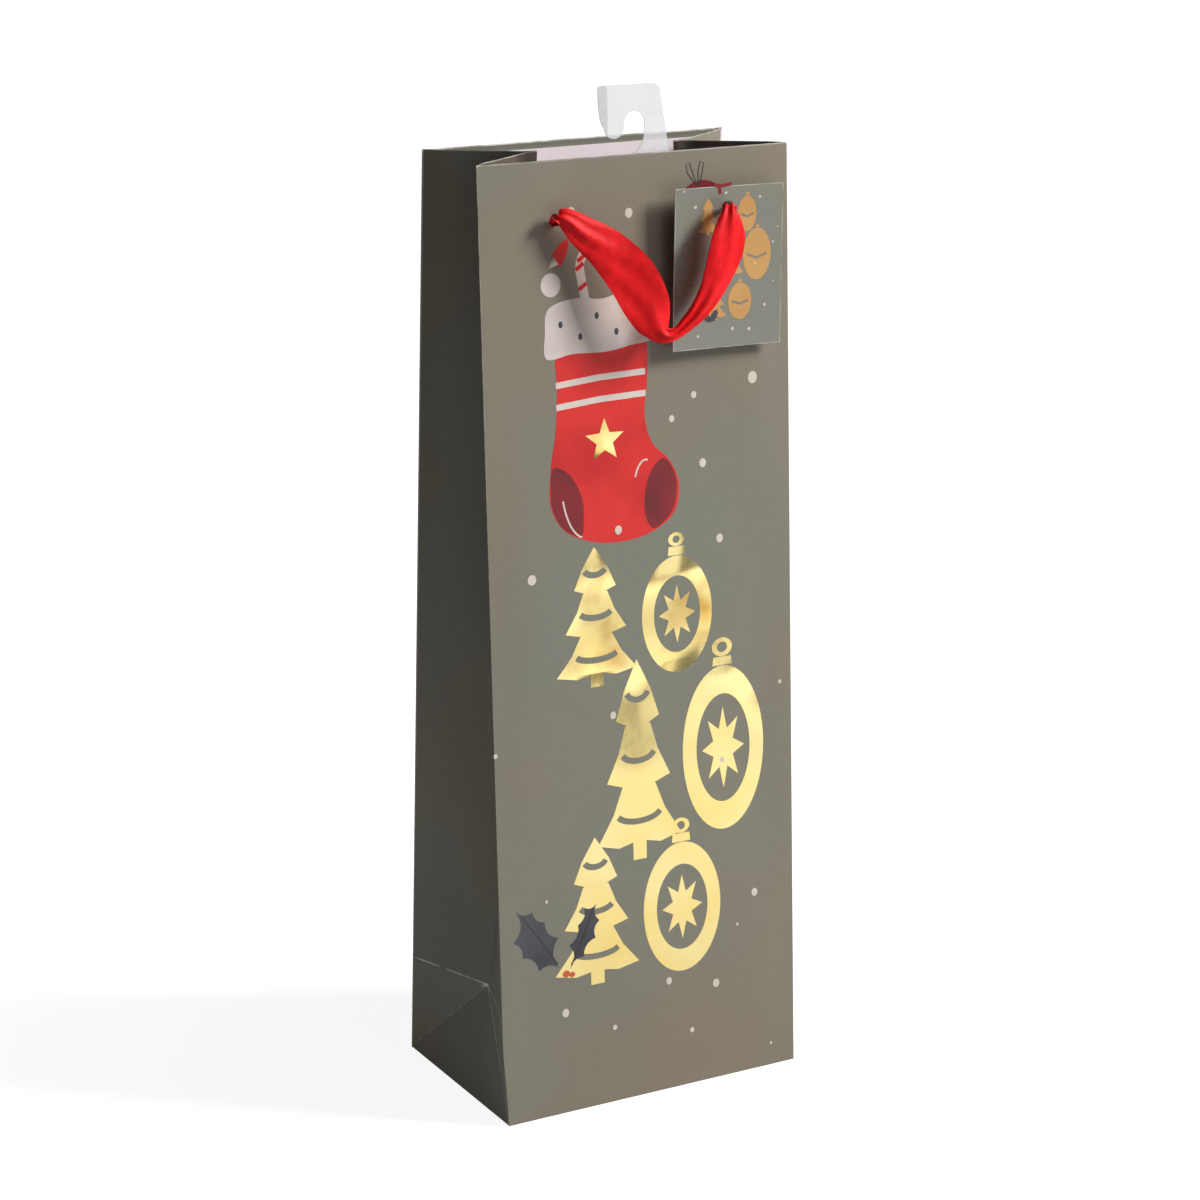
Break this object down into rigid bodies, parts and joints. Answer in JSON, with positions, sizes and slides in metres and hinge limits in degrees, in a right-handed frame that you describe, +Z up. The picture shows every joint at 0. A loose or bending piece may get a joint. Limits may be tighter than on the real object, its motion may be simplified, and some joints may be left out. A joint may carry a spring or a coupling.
{
  "type": "wine gift bag",
  "caption": "Tall printed paper gift bag for a wine bottle, with V-folded sides, ribbon handles, a hanging gift tag and a clear plastic hang hook.",
  "frame": {"origin": "middle of the floor, on the surface that the bag stands on", "axes": "+Z up along the bag's height, +X to the right as seen from the front, -Y out of the front panel, which carries the tag and the hang hook"},
  "size_m": [0.127, 0.099, 0.3839],
  "materials": {
    "printed_paper": "coated paper, printed dark olive grey, satin to gloss",
    "plain_paper": "unprinted inside of the coated paper, matt white",
    "white_board": "solid white-lined board, matt",
    "red_satin": "bright red satin ribbon, soft streaked sheen",
    "tag_card": "coated printed card, satin",
    "clear_plastic": "thin clear plastic sheet, hazy and slightly milky",
    "adhesive_pad": "double-sided tape"
  },
  "bodies": {
    "base": {"left_gusset_front": "printed_paper", "left_gusset_back": "printed_paper", "right_gusset_front": "printed_paper", "right_gusset_back": "printed_paper", "left_foot_fold": "printed_paper", "right_foot_fold": "printed_paper", "bottom_flap_front": "printed_paper", "bottom_flap_back": "printed_paper", "bottom_flap_left": "printed_paper", "bottom_flap_right": "printed_paper", "base_card": "white_board"},
    "front": {"front_panel": "printed_paper", "front_hem": "printed_paper", "front_top_card": "white_board", "front_knot_left": "red_satin", "front_knot_right": "red_satin", "hang_hook": "clear_plastic", "hook_pad": "adhesive_pad"},
    "back": {"back_panel": "printed_paper", "back_hem": "printed_paper", "back_top_card": "white_board", "glue_seam_flap": "plain_paper", "back_knot_left": "red_satin", "back_knot_right": "red_satin"},
    "left_crease": {"left_gusset_crease": "printed_paper"},
    "right_crease": {"right_gusset_crease": "printed_paper"},
    "front_handle": {"front_ribbon": "red_satin"},
    "back_handle": {"back_ribbon": "red_satin"},
    "tag": {"gift_tag": "tag_card"}
  },
  "joints": [
    {"name": "mouth", "type": "hinge", "parent": "base", "child": "front", "pos_m": [0, -0.0415, 0], "axis": [1, 0, 0], "range_deg": [-1.9, 2.2], "deforming": ["left_gusset_front", "right_gusset_front"]},
    {"name": "mouth_back", "type": "hinge", "parent": "base", "child": "back", "pos_m": [0, 0.0415, 0], "axis": [-1, 0, 0], "range_deg": [-1.9, 2.2], "deforming": ["left_gusset_back", "right_gusset_back"]},
    {"name": "left_crease_fold", "type": "hinge", "parent": "base", "child": "left_crease", "pos_m": [-0.0507, 0, 0.0395], "axis": [0, 1, 0], "range_deg": [-1.7, 1.5]},
    {"name": "right_crease_fold", "type": "hinge", "parent": "base", "child": "right_crease", "pos_m": [0.0507, 0, 0.0395], "axis": [0, -1, 0], "range_deg": [-1.7, 1.5]},
    {"name": "front_handle_swing", "type": "hinge", "parent": "front", "child": "front_handle", "pos_m": [-0.034, -0.02872, 0.33789], "axis": [-0.9936, 0.1132, -0.0044], "range_deg": [0, 150]},
    {"name": "back_handle_swing", "type": "hinge", "parent": "back", "child": "back_handle", "pos_m": [0, 0.02872, 0.33789], "axis": [1, 0, 0], "range_deg": [0, 150]},
    {"name": "tag_swing", "type": "hinge", "parent": "front", "child": "tag", "pos_m": [0.034, -0.0301, 0.33836], "axis": [0.1305, -0.9913, 0.0164], "range_deg": [-3, 15]}
  ],
  "couplings": [
    {"joint": "mouth_back", "follows": "mouth", "ratio": 1},
    {"joint": "left_crease_fold", "follows": "mouth", "ratio": -0.75},
    {"joint": "right_crease_fold", "follows": "mouth", "ratio": -0.75}
  ]
}
